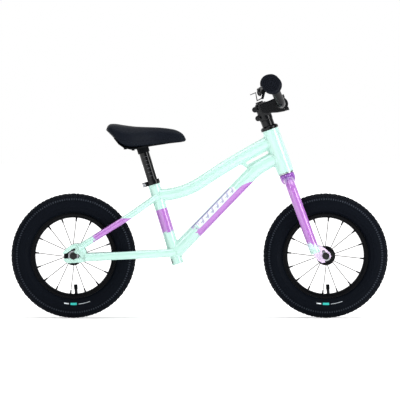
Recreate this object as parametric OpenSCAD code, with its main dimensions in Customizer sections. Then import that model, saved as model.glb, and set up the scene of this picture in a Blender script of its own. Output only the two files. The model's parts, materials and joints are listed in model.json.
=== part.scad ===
// Balance bike for a small child: welded aluminium frame, free-turning fork, two spoked wheels.
// +X points forward, +Y to the rider's left and +Z up.
// The origin is on the ground, midway between the two axles.

/* [Wheels] */
// Distance between the two axles
wheelbase = 630; // [624:1:636]
// Outer radius of a tyre, which is also the height of the axles
tyre_r = 156; // [155:0.5:157]
// Width of a tyre
tyre_w = 56; // [54:1:58]
// Inner radius of a rim
rim_inner_r = 95; // [94:0.5:96]
// Spokes in each wheel
spoke_count = 16; // [12:4:20]
// Angle by which a spoke's hub end leads or trails its rim end
spoke_lean = 8; // [0:1:10]
// Distance across the faces of a hub's lock rings
hub_width = 100; // [98:1:104]
// Radius of an axle
axle_r = 4.75; // [4.5:0.05:5]

/* [Steering] */
// Angle of the head tube back from vertical
head_tilt = 20.2; // [19.8:0.1:20.6]
// Distance of the front axle ahead of the steering axis
fork_offset = 21.6; // [21:0.1:22]
// Distance along the steering axis from the axle up to the head tube
fork_length = 229.3; // [228:0.1:231]
// Length of the head tube
head_length = 114.5; // [112:0.5:117]
// Distance of the handlebar ahead of the steering axis
stem_reach = 48; // [47:0.5:50]

/* [Seat] */
// Angle of the seat tube back from vertical
seat_tilt = 17; // [16.8:0.1:17.2]
// Length of the seat tube, with the part inside its clamp
seat_tube_length = 219; // [217:1:221]
// Radius of the seat post
post_r = 12.7; // [12.5:0.1:12.8]
// Length of the seat post
post_length = 210; // [200:1:212]

/* [Tubes] */
// Outer radius of the head tube
head_r = 21.25; // [21:0.05:21.5]
// Outer radius of the seat tube
seat_tube_r = 15; // [15:0.1:15.3]
// Wall of the frame's tubes
tube_wall = 1.8; // [1.4:0.1:2]
// Radius of the round seat stays
seat_stay_r = 8; // [7.5:0.1:8]
// Radius of a fork leg
leg_r = 12.4; // [12:0.1:12.6]

/* [Handlebar] */
// Half the handlebar's width, without the grips' end caps
bar_half = 209; // [205:1:215]
// Radius of the handlebar at the grips
bar_r = 11.1; // [11:0.05:11.1]
// Radius of the handlebar inside the stem
bar_clamp_r = 12.7; // [12.6:0.05:12.7]

/* [Hidden] */
$fn = 64;

mint = "#b9f2e2";
lilac = "#c39ae0";
black = "#17181c";
steel = "#a9adb1";

run_fit = 0.05;                 // radial clearance of a running or sliding fit
gap = 0.3;                      // gap between faces of different bodies
plate_in = hub_width / 2;       // inner face of the dropout plates
plate_t = 5;
plate_out = plate_in + plate_t;

front_axle_at = [wheelbase / 2, 0, tyre_r];
rear_axle_at = [-wheelbase / 2, 0, tyre_r];
steer_dir = [-sin(head_tilt), 0, cos(head_tilt)];
steer_ahead = [cos(head_tilt), 0, sin(head_tilt)];
head_low = front_axle_at - fork_offset * steer_ahead + fork_length * steer_dir;
seat_dir = [-sin(seat_tilt), 0, cos(seat_tilt)];
seat_low = [-54, 0, 135.3];
head_bore_r = 15.6;
cup_seat_r = 18;
cup_depth = 12;

// Lengths along the steering axis, from the lower end of the head tube
cap_low = head_length + gap;
cap_h = 9.5;
spacer_h = 15.5;
stem_low = cap_low + cap_h + spacer_h;
stem_h = 46;
bar_up = stem_low + 25;
bar_at = head_low + stem_reach * steer_ahead + bar_up * steer_dir;

// Lengths along the seat axis, from the lower end of the seat tube
collar_h = 11.5;
socket_low = 290.4;
socket_h = 22;
post_top = 300;

// Centre lines of the tubes: end, corners, end
top_tube_line = [
    seat_low + 178.8 * seat_dir, [-37, 0, 312.4], [85.5, 0, 393.5], head_low + 89 * steer_dir,
];
down_tube_line = [seat_low + 27.9 * seat_dir, [145.7, 0, 377.1], head_low + 42.7 * steer_dir];
chainstay_line = [[-64, 10, 163], [-150, 42, 158.7], rear_axle_at + [29, 52.5, -3.8]];
seatstay_line = [[-109, 10, 302], [-181, 41, 251], rear_axle_at + [13, 52.5, 19.5]];
bar_line = [bar_at, bar_at + [0, 42, 0], bar_at + [-20, 84, 45.4], bar_at + [-27.5, bar_half, 51]];
leg_line = [[0, 0, -16], [0, 46, -28], [0, plate_in + 2.5, 15.3 - fork_length]];

bar_bend_r = 26;
grip_start = 112;
band_at = 103;

function unit(v) = v / norm(v);
function on_line(line, y) =
    let (a = line[len(line) - 2], b = line[len(line) - 1])
    a + (b - a) * (y - a.y) / (b.y - a.y);
grip_dir = unit(bar_line[3] - bar_line[2]);

// Places children with their Z axis along a heading and their Y axis towards a normal
module along(origin, heading, normal = [0, 1, 0]) {
    z = unit(heading);
    y = unit(normal - (normal * z) * z);
    x = cross(y, z);
    multmatrix([
        [x.x, y.x, z.x, origin.x],
        [x.y, y.y, z.y, origin.y],
        [x.z, y.z, z.z, origin.z],
        [0, 0, 0, 1],
    ]) children();
}

module on_steering(h = 0) { along(head_low + h * steer_dir, steer_dir) children(); }

module on_seat(s = 0) { along(seat_low + s * seat_dir, seat_dir) children(); }

module left_side() { mirror([0, 1, 0]) children(); }

// Points of a section with rounded corners, set in from its edge
section_points = 24;
function section(w, h, r, inset = 0) = [
    for (k = [0:section_points - 1])
        let (t = k * 360 / section_points, c = cos(t), s = sin(t))
        [sign(round(c * 1e6)) * (w / 2 - r) + (r - inset) * c, sign(round(s * 1e6)) * (h / 2 - r) + (r - inset) * s]
];

// Places and headings along straight lines joined by round corners
corner_steps = 6;
function headings(line) = [for (i = [1:len(line) - 1]) unit(line[i] - line[i - 1])];
function corner_places(at, a, b, r) =
    let (turn = acos(a * b), c = unit(b - (a * b) * a), start = at - r * tan(turn / 2) * a)
    [
        for (k = [0:corner_steps])
            let (t = turn * k / corner_steps)
            [start + r * (1 - cos(t)) * c + r * sin(t) * a, cos(t) * a + sin(t) * c]
    ];
function places(line, corner_r) =
    let (dirs = headings(line), last = len(line) - 1)
    [
        [line[0], dirs[0]],
        for (i = [1:last - 1]) each corner_places(line[i], dirs[i - 1], dirs[i], corner_r[i - 1]),
        [line[last], dirs[last - 1]],
    ];

// Moves a point along a heading to where it leaves (side 1) or enters (side -1) a cylinder [point, axis, radius]
function onto(p, dir, round, side) =
    is_undef(round) ? p :
    let (
        q = p - round[0],
        across = q - (q * round[1]) * round[1],
        flow = dir - (dir * round[1]) * round[1],
        a = flow * flow,
        b = across * flow,
        c = across * across - round[2] * round[2]
    )
    p + dir * (side * sqrt(max(0, b * b - a * c)) - b) / a;

function ring_at(place, shape, normal) =
    let (z = place[1], y = unit(normal - (normal * z) * z), x = cross(y, z))
    [for (p = shape) place[0] + p.x * x + p.y * y];

function shell(route, shape, normal, from, to) = [
    for (i = [0:len(route) - 1])
        for (p = ring_at(route[i], shape, normal))
            i == 0 ? onto(p, route[i][1], from, 1) :
            i == len(route) - 1 ? onto(p, route[i][1], to, -1) : p
];

// Bent tube between two cylinders, which its ends are shaped to
module bent_tube(line, corner_r, outer, inner, normal, from = undef, to = undef) {
    route = places(line, corner_r);
    n = section_points;
    rings = len(route);
    hole = rings * n;
    last = (rings - 1) * n;
    polyhedron(
        concat(shell(route, outer, normal, from, to), shell(route, inner, normal, from, to)),
        [
            for (i = [0:rings - 2], k = [0:n - 1])
                let (a = i * n + k, b = i * n + (k + 1) % n, c = b + n, d = a + n)
                each [[a, d, c], [a, c, b], [hole + a, hole + b, hole + c], [hole + a, hole + c, hole + d]],
            for (k = [0:n - 1])
                let (b = (k + 1) % n)
                each [
                    [k, b, hole + b], [k, hole + b, hole + k],
                    [last + k, last + hole + k, last + hole + b], [last + k, last + hole + b, last + b],
                ],
        ]
    );
}

module ring_section(outer, inner) {
    difference() {
        circle(outer);
        circle(inner);
    }
}

module pipe(h, outer, inner) {
    difference() {
        cylinder(h = h, r = outer);
        translate([0, 0, -1]) cylinder(h = h + 2, r = inner);
    }
}

// Outer surfaces that the ends of other tubes are shaped to
head_round = [head_low, steer_dir, head_r];
seat_round = [seat_low, seat_dir, seat_tube_r];

// Frame

module head_tube() {
    color(mint) on_steering() difference() {
        cylinder(h = head_length, r = head_r);
        translate([0, 0, -1]) cylinder(h = head_length + 2, r = head_bore_r);
        translate([0, 0, -1]) cylinder(h = cup_depth + 1, r = cup_seat_r);
        translate([0, 0, head_length - cup_depth]) cylinder(h = cup_depth + 1, r = cup_seat_r);
    }
}

module top_tube() {
    color(mint) bent_tube(
        top_tube_line, [190, 1900], section(31, 28, 12.5), section(31, 28, 12.5, tube_wall),
        [0, 1, 0], seat_round, head_round
    );
}

module down_tube() {
    color(mint) bent_tube(
        down_tube_line, [190], section(35, 33, 14), section(35, 33, 14, tube_wall),
        [0, 1, 0], seat_round, head_round
    );
}

module seat_tube() {
    color(mint) on_seat() pipe(seat_tube_length, seat_tube_r, post_r + run_fit);
}

// Plate welded between the two tubes behind the head tube, with a long rounded slot
module head_gusset() {
    thick = 12;
    outline = [
        [99, 385], [110, 379.5], [121, 371.5], [132, 377.5], [158, 397], [178, 410],
        [173.5, 422], [168, 425], [140, 410], [113, 394],
    ];
    slot_from = [120, 387.5];
    slot_to = [168, 413.5];
    slot_r = 3.6;
    reach = slot_to - slot_from;
    color(mint) difference() {
        rotate([90, 0, 0]) linear_extrude(thick, center = true) polygon(outline);
        rotate([90, 0, 0]) linear_extrude(thick + 2, center = true) {
            for (p = [slot_from, slot_to]) translate(p) circle(slot_r);
            translate(slot_from) rotate(atan2(reach.y, reach.x)) translate([0, -slot_r])
                square([norm(reach), 2 * slot_r]);
        }
    }
}

module chainstay() {
    bent_tube(
        chainstay_line, [80], section(15, 20, 7), section(15, 20, 7, tube_wall),
        [0, 0, 1], seat_round
    );
}

module chainstay_left() { color(mint) chainstay(); }

module chainstay_right() { color(mint) left_side() chainstay(); }

module seatstay() {
    r = seat_stay_r;
    bent_tube(
        seatstay_line, [80], section(2 * r, 2 * r, r), section(2 * r, 2 * r, r, tube_wall),
        [0, 0, 1], seat_round
    );
}

module seatstay_left() { color(mint) seatstay(); }

module seatstay_right() { color(mint) left_side() seatstay(); }

// Rear plate with a slot open to the rear and a window above it, drawn from the axle
module dropout() {
    slot_r = 5;
    outline = [
        [34, 7], [34, -13], [20, -16], [-12, -18], [-23, -14], [-25, -6.5],
        [11, -5.2], [11, 4.8], [4, 4.8], [0.5, 7.5], [2, 12], [6, 14.5], [5, 18.5], [1, 19],
        [-8, 12.5], [-17, 6.5], [-25, 5], [-27, 8], [-20, 16], [-8, 25], [2, 30], [18, 30], [28, 20],
    ];
    translate(rear_axle_at + [0, plate_out, 0]) rotate([90, 0, 0]) linear_extrude(plate_t) difference() {
        polygon(outline);
        translate([11, -0.2]) circle(slot_r);
    }
}

module dropout_left() { color(mint) dropout(); }

module dropout_right() { color(mint) left_side() dropout(); }

// Cross tubes ahead of the rear wheel, let into the stays on both sides
module stay_bridges() {
    r = 6;
    for (bridge = [[-128, 159.8, 58], [-165, 262.3, 58]])
        color(mint) translate([bridge[0], bridge[2] / 2, bridge[1]]) rotate([90, 0, 0])
            pipe(bridge[2], r, r - tube_wall);
}

ear_bolt_at = [-23, 0, collar_h / 2];

module seat_clamp() {
    color(black) on_seat(seat_tube_length - collar_h) difference() {
        union() {
            cylinder(h = collar_h, r = seat_tube_r + 2.2);
            translate([-27, -8, 0]) cube([14, 16, collar_h]);
        }
        translate([0, 0, -1]) cylinder(h = collar_h + 2, r = seat_tube_r);
        translate([-30, -1, -1]) cube([18, 2, collar_h + 2]);
        translate(ear_bolt_at) rotate([90, 0, 0]) cylinder(h = 40, r = 2.6, center = true);
    }
}

module seat_clamp_bolt() {
    color(steel) on_seat(seat_tube_length - collar_h) translate(ear_bolt_at) rotate([90, 0, 0]) {
        cylinder(h = 18, r = 2.5, center = true);
        translate([0, 0, 8]) difference() {
            cylinder(h = 4, r = 4.3);
            translate([0, 0, 1.5]) cylinder(h = 4, r = 2.3, $fn = 6);
        }
        translate([0, 0, -11.5]) cylinder(h = 3.5, r = 4.2, $fn = 6);
    }
}

module headset_cups() {
    color(black) for (z = [0, head_length - cup_depth])
        on_steering(z) pipe(cup_depth, cup_seat_r, 16.4);
}

module headset_bearings() {
    color(steel) for (z = [1.5, head_length - cup_depth + 1.5])
        on_steering(z) pipe(cup_depth - 3, 16.4, post_r + run_fit);
}

module axle(at) {
    ring_t = plate_in - 44 - gap;
    translate(at) rotate([90, 0, 0]) {
        cylinder(h = 2 * (plate_out + 10), r = axle_r, center = true);
        cylinder(h = 2 * (plate_out + 15), r = axle_r - 0.25, center = true);
        for (side = [0, 1]) mirror([0, 0, side])
            translate([0, 0, plate_in - ring_t]) pipe(ring_t, 9, axle_r);
    }
}

module axle_nuts(at) {
    translate(at) for (side = [0, 1]) mirror([0, side, 0]) rotate([90, 0, 0])
        translate([0, 0, plate_out]) difference() {
            union() {
                cylinder(h = 1.5, r = 9);
                cylinder(h = 9, r = 8.66, $fn = 6);
            }
            translate([0, 0, -1]) cylinder(h = 11, r = axle_r);
        }
}

module rear_axle() { color(steel) axle(rear_axle_at); }

module rear_axle_nuts() { color(black) axle_nuts(rear_axle_at); }

// Saddle

module seat_post() { color(black) on_seat(post_top - post_length) pipe(post_length, post_r, post_r - 2.2); }

pad_top = [
    [-37, 441], [-34, 447], [-40, 458], [-52, 467], [-66, 472], [-104, 476.5], [-157, 478.5],
    [-190, 482.5], [-213, 485.8], [-222, 485.5], [-230, 480], [-233.5, 470],
];
pad_low = [[-218, 454], [-203, 437.5], [-189, 428.5], [-172, 425], [-157, 426], [-123.5, 433], [-75.5, 440.2]];
base_low = [[-44, 440], [-75.5, 436.4], [-123.5, 429], [-157, 422], [-171, 421], [-188, 424.5], [-202, 434], [-214, 449]];
base_high = [[-214, 449.4], [-203, 437.5], [-189, 428.5], [-172, 425], [-157, 426], [-123.5, 433], [-75.5, 440.2]];
// Half widths of the saddle from above, front to rear
saddle_plan = [
    [-34, 8], [-40, 17], [-52, 21.5], [-80, 22.5], [-105, 26], [-130, 36], [-152, 49],
    [-175, 59], [-197, 63], [-215, 60], [-227, 50], [-233.5, 34],
];

module saddle_outline(inset) {
    side = [for (p = saddle_plan) [p.x, p.y - inset]];
    polygon([each side, for (i = [len(side) - 1:-1:0]) [side[i].x, -side[i].y]]);
}

module saddle_slice(profile, inset) {
    intersection() {
        rotate([90, 0, 0]) linear_extrude(140, center = true) polygon(profile);
        translate([0, 0, 400]) linear_extrude(100) saddle_outline(inset);
    }
}

module saddle_pad() { color(black) saddle_slice([each pad_top, each pad_low], 0); }

module saddle_base() {
    color(black) saddle_slice([each base_low, each base_high], 5);
}

module saddle_socket() {
    above_base = [[-60, 438.7], [-123.5, 429], [-157, 422], [-171, 421], [-171, 460], [-60, 460]];
    color(black) difference() {
        on_seat(socket_low) cylinder(h = socket_h + 8, r = 15);
        on_seat(socket_low - 1) cylinder(h = post_top - socket_low + 1, r = post_r);
        rotate([90, 0, 0]) linear_extrude(60, center = true) polygon(above_base);
    }
}

module saddle_bolts() {
    color(steel) for (p = [[-166, 14, 421.2], [-166, -14, 421.2], [-186, 14, 424], [-186, -14, 424]])
        translate(p) {
            translate([0, 0, -2.6]) cylinder(h = 4, r = 3.6);
            cylinder(h = 5, r = 2);
        }
}

// Fork and steering

module steerer() {
    color(steel) on_steering(-16) pipe(stem_low + stem_h - 2 + 16, post_r, post_r - 2.5);
}

module crown_race() { color(steel) on_steering(-3) pipe(3 - gap, 20, post_r); }

crown_r = 19.5;
crown_h = 29;

module fork_crown() {
    color(lilac) on_steering(-3 - crown_h) difference() {
        cylinder(h = crown_h, r = crown_r);
        translate([0, 0, crown_h - 13]) cylinder(h = 20, r = post_r);
    }
}

module fork_leg() {
    r = leg_r;
    on_steering() bent_tube(
        leg_line, [28], section(2 * r, 2 * r, r), section(2 * r, 2 * r, r, 2.2),
        [1, 0, 0], [[0, 0, 0], [0, 0, 1], crown_r]
    );
}

module fork_leg_left() { color(lilac) fork_leg(); }

module fork_leg_right() { color(lilac) left_side() fork_leg(); }

// Front plate with a slot open forward and down, drawn from the axle
module fork_tip() {
    slot_r = 5;
    slot_turn = -62;
    outline = [
        [-35, 9], [-25, 26], [-11, 24], [-2, 19], [8, 10], [13.5, -1], [11.5, -5], [6, -3],
        [-3, -12], [-2, -16], [-10, -17], [-20, -11], [-28, -1],
    ];
    translate(front_axle_at + [0, plate_out, 0]) rotate([90, 0, 0]) linear_extrude(plate_t) difference() {
        polygon(outline);
        rotate(slot_turn) {
            translate([-12, 0]) circle(slot_r - 1);
            translate([-12, 1 - slot_r]) square([12, 2 * slot_r - 2]);
            circle(slot_r);
            translate([0, -slot_r]) square([30, 2 * slot_r]);
        }
    }
}

module fork_tip_left() { color(lilac) fork_tip(); }

module fork_tip_right() { color(lilac) left_side() fork_tip(); }

module headset_cap() {
    color(black) on_steering(cap_low) difference() {
        union() {
            cylinder(h = cap_h - 3, r = 22.5);
            translate([0, 0, cap_h - 3]) cylinder(h = 3, r1 = 22.5, r2 = 18.5);
        }
        translate([0, 0, -1]) cylinder(h = cap_h + 2, r = post_r);
    }
}

module headset_spacer() { color(black) on_steering(cap_low + cap_h) pipe(spacer_h, 16, post_r); }

// Cast stem, drawn from the steering axis at the height of its lower face
pinch_at = [-18.5, 0, 0];
pinch_z = [11, 34];
clamp_z = bar_up - stem_low;
face_split = 3;                 // distance of the faceplate's split ahead of the bar's centre

module stem_body_section() {
    polygon([
        [12, 14], [24, 9], [34, 8], [stem_reach + face_split, clamp_z - 21], [stem_reach + face_split, clamp_z + 21],
        [stem_reach - 8, clamp_z + 19], [22, stem_h + 1], [8, stem_h + 3], [8, 14],
    ]);
}

module stem_bores() {
    translate([0, 0, -1]) cylinder(h = stem_h, r = post_r);
    translate([stem_reach, 0, clamp_z]) rotate([90, 0, 0])
        cylinder(h = 60, r = bar_clamp_r + run_fit, center = true);
}

module stem() {
    color(black) on_steering(stem_low) difference() {
        union() {
            cylinder(h = stem_h, r = 17);
            translate([-26, -12, 3]) cube([14, 24, stem_h - 6]);
            rotate([90, 0, 0]) linear_extrude(40, center = true) stem_body_section();
        }
        stem_bores();
        translate([-30, -1, -1]) cube([18, 2, stem_h + 4]);
        for (z = pinch_z) translate(pinch_at + [0, 0, z]) rotate([90, 0, 0])
            cylinder(h = 40, r = 2.6, center = true);
    }
}

module stem_faceplate() {
    color(black) on_steering(stem_low) difference() {
        union() {
            translate([stem_reach, 0, clamp_z]) rotate([90, 0, 0]) cylinder(h = 40, r = 17.5, center = true);
            translate([stem_reach + face_split, -20, clamp_z - 20]) cube([7, 40, 40]);
        }
        stem_bores();
        translate([stem_reach - 40, -30, clamp_z - 30]) cube([40 + face_split + 0.6, 60, 60]);
    }
}

module stem_bolts() {
    bolt_out = stem_reach + face_split + 7;
    color(steel) on_steering(stem_low) {
        for (z = pinch_z) translate(pinch_at + [0, 0, z]) rotate([90, 0, 0]) difference() {
            union() {
                cylinder(h = 24, r = 2.5, center = true);
                translate([0, 0, 12]) cylinder(h = 4.5, r = 4.4);
            }
            translate([0, 0, 13.5]) cylinder(h = 4, r = 2.3, $fn = 6);
        }
        for (y = [-13, 13], z = [-16.5, 16.5]) translate([bolt_out, y, clamp_z + z]) rotate([0, 90, 0]) {
            translate([0, 0, -14]) cylinder(h = 14, r = 2.5);
            difference() {
                cylinder(h = 4.5, r = 4.4);
                translate([0, 0, 1.5]) cylinder(h = 4, r = 2.3, $fn = 6);
            }
        }
    }
}

module stem_top_cap() {
    color(black) on_steering(stem_low + stem_h) {
        translate([-2, 0, 0]) difference() {
            cylinder(h = 3.5, r = 9.5);
            translate([0, 0, 1.5]) cylinder(h = 3, r = 3.2, $fn = 6);
        }
    }
}

module front_axle() { color(steel) axle(front_axle_at); }

module front_axle_nuts() { color(black) axle_nuts(front_axle_at); }

// Handlebar

module handlebar() {
    r = bar_r;
    other_end = [for (i = [3:-1:1]) [bar_line[i].x, -bar_line[i].y, bar_line[i].z]];
    whole_line = [each other_end, bar_line[1], bar_line[2], bar_line[3]];
    color(black) {
        bent_tube(
            whole_line, [for (i = [1:4]) bar_bend_r],
            section(2 * r, 2 * r, r), section(2 * r, 2 * r, r, tube_wall), [1, 0, 0]
        );
        translate(bar_at + [0, 26, 0]) rotate([90, 0, 0]) pipe(52, bar_clamp_r, r - 0.6);
    }
}

// Ribbed grip with a collar at each end, from its inner end outwards
module grip() {
    bar_in = on_line(bar_line, grip_start);
    bore_h = norm(bar_line[3] - bar_in);
    length = bore_h + 3;
    ribs = 14;
    rib_pitch = (length - 16) / ribs;
    along(bar_in, grip_dir, [1, 0, 0]) difference() {
        union() {
            cylinder(h = length - 5, r = 14.6);
            cylinder(h = 4.5, r = 23);
            translate([0, 0, 4.5]) cylinder(h = 3, r1 = 23, r2 = 16);
            for (i = [0:ribs - 1]) translate([0, 0, 8 + i * rib_pitch]) cylinder(h = rib_pitch * 0.55, r = 15.6);
            translate([0, 0, length - 6]) cylinder(h = 6, r = 23.5);
        }
        translate([0, 0, -1]) cylinder(h = bore_h + 1, r = bar_r);
    }
}

module grip_left() { color(black) grip(); }

module grip_right() { color(black) left_side() grip(); }

// Bell, on the rider's right between the bend and the grip
bell_bar_at = on_line(bar_line, band_at);
dome_at = bell_bar_at + [-28, 0, -15];
dome_dir = [-cos(27), 0, sin(27)];
dome_r = 14;

striker_at = bell_bar_at + [-26, 0, -31];
pin_r = 1.5;

module bell_bracket() {
    arm = dome_at - bell_bar_at;
    ear_t = 2;
    color(black) left_side() {
        difference() {
            union() {
                along(bell_bar_at - 6 * grip_dir, grip_dir, [1, 0, 0]) cylinder(h = 12, r = 14);
                along(bell_bar_at, arm, [0, 1, 0]) cylinder(h = norm(arm) - 3, r = 4.5);
                along(dome_at - 3 * dome_dir, dome_dir) cylinder(h = 3, r = 12);
                for (y = [-4.8 - ear_t, 4.8]) translate(striker_at + [0, y, 0]) rotate([90, 0, 0])
                    translate([0, 0, -ear_t]) linear_extrude(ear_t) {
                        circle(3.2);
                        polygon([[-3.2, 0], [3.2, 0], [9, 22], [0, 16]]);
                    }
            }
            along(bell_bar_at - 20 * grip_dir, grip_dir, [1, 0, 0]) cylinder(h = 40, r = bar_r);
        }
        translate(striker_at) rotate([90, 0, 0]) cylinder(h = 12, r = pin_r, center = true);
    }
}

module bell_dome() {
    color(black) left_side() along(dome_at, dome_dir) {
        rotate_extrude() intersection() {
            scale_ring();
            square([dome_r + 1, dome_r + 1]);
        }
        cylinder(h = 11.4, r = 2);
        translate([0, 0, 11.4]) cylinder(h = 2, r = 3);
    }
}

module scale_ring() {
    translate([0, -2]) difference() {
        circle(dome_r);
        circle(dome_r - 1.2);
    }
}

// Folded striker plate with a barrel round the bracket's pin
module bell_striker() {
    plate = [[0, 1.6], [-12.5, -5], [-16.5, 14.5], [-31, 8.5], [-31, 6.5], [-18, 11.8], [-14.5, -8.5], [0, -1.6]];
    color(black) left_side() translate(striker_at) rotate([90, 0, 0]) difference() {
        union() {
            linear_extrude(8, center = true) polygon(plate);
            cylinder(h = 9, r = 3, center = true);
        }
        cylinder(h = 10, r = pin_r + run_fit, center = true);
    }
}

// Wheels, drawn with their axis along Z and turned to lie along Y

module at_wheel(at) { translate(at) rotate([90, 0, 0]) children(); }

casing_r = tyre_w / 2;
casing_at = tyre_r - casing_r;
rim_depth = 12;
valve_turn = -86;
flange_r = 24;
flange_at = 24;
bearing_end = 44;

module tyre() {
    bead = [[113.5, 21.3], [113.5, 23.6], [107, 14], [101.2, 14], [101.2, 10.2], [106, 10.2]];
    rotate_extrude() {
        difference() {
            translate([casing_at, 0]) ring_section(casing_r, casing_r - 2.6);
            translate([casing_at - casing_r - 1, -casing_r]) square([casing_r - 15, 2 * casing_r]);
        }
        for (side = [-1, 1]) polygon([
            for (i = [0:len(bead) - 1])
                let (p = bead[side > 0 ? i : len(bead) - 1 - i])
                [p.x, side * p.y]
        ]);
    }
}

module inner_tube() {
    tube_r = 23.2;
    stem_r = 3.9;
    rotate_extrude() translate([casing_at, 0]) ring_section(tube_r, tube_r - 1.1);
    rotate(valve_turn) translate([84, 0, 0]) rotate([0, 90, 0])
        cylinder(h = casing_at - tube_r - 84 + 0.6, r = stem_r);
    rotate(valve_turn) translate([76, 0, 0]) rotate([0, 90, 0]) cylinder(h = 8, r = 2.6);
}

module valve_cap() {
    rotate(valve_turn) translate([72, 0, 0]) rotate([0, 90, 0]) difference() {
        cylinder(h = 11.9, r = 4.6);
        translate([0, 0, 3.5]) cylinder(h = 10, r = 2.65);
    }
}

module rim() {
    lip = rim_inner_r + rim_depth;
    difference() {
        rotate_extrude() polygon([
            [rim_inner_r, -10], [rim_inner_r, 10], [rim_inner_r + 3, 16.5], [lip, 16.5], [lip, 14.1],
            [rim_inner_r + 6, 14.1], [rim_inner_r + 3, 9], [rim_inner_r + 3, -9],
            [rim_inner_r + 6, -14.1], [lip, -14.1], [lip, -16.5], [rim_inner_r + 3, -16.5],
        ]);
        rotate(valve_turn) translate([80, 0, 0]) rotate([0, 90, 0]) cylinder(h = 40, r = 4.1);
    }
}

module hub() {
    difference() {
        union() {
            cylinder(h = 2 * bearing_end, r = 15.5, center = true);
            for (z = [-flange_at, flange_at]) translate([0, 0, z]) cylinder(h = 3.4, r = flange_r, center = true);
        }
        cylinder(h = 2 * bearing_end + 2, r = 7, center = true);
        for (side = [0, 1]) mirror([0, 0, side])
            translate([0, 0, bearing_end - 9]) cylinder(h = 10, r = 13);
    }
}

module hub_bearings() {
    for (side = [0, 1]) mirror([0, 0, side])
        translate([0, 0, bearing_end - 9]) pipe(9, 13, axle_r + run_fit);
}

// Places children at a spoke's rim end with their Z axis towards the hub end
module each_spoke() {
    for (k = [0:spoke_count - 1]) {
        turn = 85.5 - k * 360 / spoke_count;
        side = k % 2 == 0 ? 1 : -1;
        rim_end = [(rim_inner_r + 1.5) * cos(turn), (rim_inner_r + 1.5) * sin(turn), side * 3];
        hub_turn = turn + side * spoke_lean;
        hub_end = [21 * cos(hub_turn), 21 * sin(hub_turn), side * (flange_at + 1)];
        $spoke_length = norm(hub_end - rim_end);
        along(rim_end, hub_end - rim_end, [0, 0, 1]) children();
    }
}

module spokes() {
    each_spoke() cylinder(h = $spoke_length, r = 1, $fn = 16);
}

module nipples() {
    each_spoke() pipe(12, 2, 1, $fn = 20);
}

module front_tyre() { color(black) at_wheel(front_axle_at) tyre(); }

module front_inner_tube() { color(black) at_wheel(front_axle_at) inner_tube(); }

module front_rim() { color(black) at_wheel(front_axle_at) rim(); }

module front_hub() { color(black) at_wheel(front_axle_at) hub(); }

module front_hub_bearings() { color(steel) at_wheel(front_axle_at) hub_bearings(); }

module front_spokes() { color(steel) at_wheel(front_axle_at) spokes(); }

module front_nipples() { color(black) at_wheel(front_axle_at) nipples(); }

module front_valve_cap() { color(black) at_wheel(front_axle_at) valve_cap(); }

module rear_tyre() { color(black) at_wheel(rear_axle_at) tyre(); }

module rear_inner_tube() { color(black) at_wheel(rear_axle_at) inner_tube(); }

module rear_rim() { color(black) at_wheel(rear_axle_at) rim(); }

module rear_hub() { color(black) at_wheel(rear_axle_at) hub(); }

module rear_hub_bearings() { color(steel) at_wheel(rear_axle_at) hub_bearings(); }

module rear_spokes() { color(steel) at_wheel(rear_axle_at) spokes(); }

module rear_nipples() { color(black) at_wheel(rear_axle_at) nipples(); }

module rear_valve_cap() { color(black) at_wheel(rear_axle_at) valve_cap(); }

head_tube();
top_tube();
down_tube();
seat_tube();
head_gusset();
chainstay_left();
chainstay_right();
seatstay_left();
seatstay_right();
dropout_left();
dropout_right();
stay_bridges();
seat_clamp();
seat_clamp_bolt();
headset_cups();
headset_bearings();
rear_axle();
rear_axle_nuts();
seat_post();
saddle_socket();
saddle_base();
saddle_pad();
saddle_bolts();
steerer();
fork_crown();
fork_leg_left();
fork_leg_right();
fork_tip_left();
fork_tip_right();
crown_race();
headset_cap();
headset_spacer();
stem();
stem_faceplate();
stem_bolts();
stem_top_cap();
front_axle();
front_axle_nuts();
handlebar();
grip_left();
grip_right();
bell_bracket();
bell_dome();
bell_striker();
front_tyre();
front_inner_tube();
front_rim();
front_hub();
front_hub_bearings();
front_spokes();
front_nipples();
front_valve_cap();
rear_tyre();
rear_inner_tube();
rear_rim();
rear_hub();
rear_hub_bearings();
rear_spokes();
rear_nipples();
rear_valve_cap();
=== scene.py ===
"""Looks of a child's balance bike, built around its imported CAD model.

Lengths are in millimetres in the helpers and become metres where a mesh is made.
"""

import json
import math

import bmesh
import bpy
from mathutils import Matrix, Vector


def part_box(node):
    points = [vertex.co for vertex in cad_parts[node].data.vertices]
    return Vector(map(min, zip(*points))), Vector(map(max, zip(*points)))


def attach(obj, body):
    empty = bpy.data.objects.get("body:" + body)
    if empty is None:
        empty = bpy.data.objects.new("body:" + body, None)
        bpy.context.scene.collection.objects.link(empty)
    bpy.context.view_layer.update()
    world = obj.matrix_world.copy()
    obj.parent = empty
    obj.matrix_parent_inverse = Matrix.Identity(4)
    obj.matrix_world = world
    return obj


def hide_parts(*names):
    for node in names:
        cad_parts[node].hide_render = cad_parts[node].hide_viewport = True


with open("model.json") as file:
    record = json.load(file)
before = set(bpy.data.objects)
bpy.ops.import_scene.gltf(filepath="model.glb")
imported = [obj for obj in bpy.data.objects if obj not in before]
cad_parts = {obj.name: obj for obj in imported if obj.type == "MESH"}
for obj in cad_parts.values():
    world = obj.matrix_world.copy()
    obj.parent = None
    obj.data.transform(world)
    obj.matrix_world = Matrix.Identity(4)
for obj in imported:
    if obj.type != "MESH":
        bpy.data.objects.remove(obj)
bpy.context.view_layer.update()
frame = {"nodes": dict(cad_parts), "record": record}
record = frame["record"]
nodes = frame["nodes"]
joints = record["behaviour"]["joints"]
joint_at = {j["name"]: Vector(j.get("pos_m", (0, 0, 0))) * 1000 for j in joints}
slot_of = {p["node"]: p["material_slot"] for p in record["subparts"]}


# Materials


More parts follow.
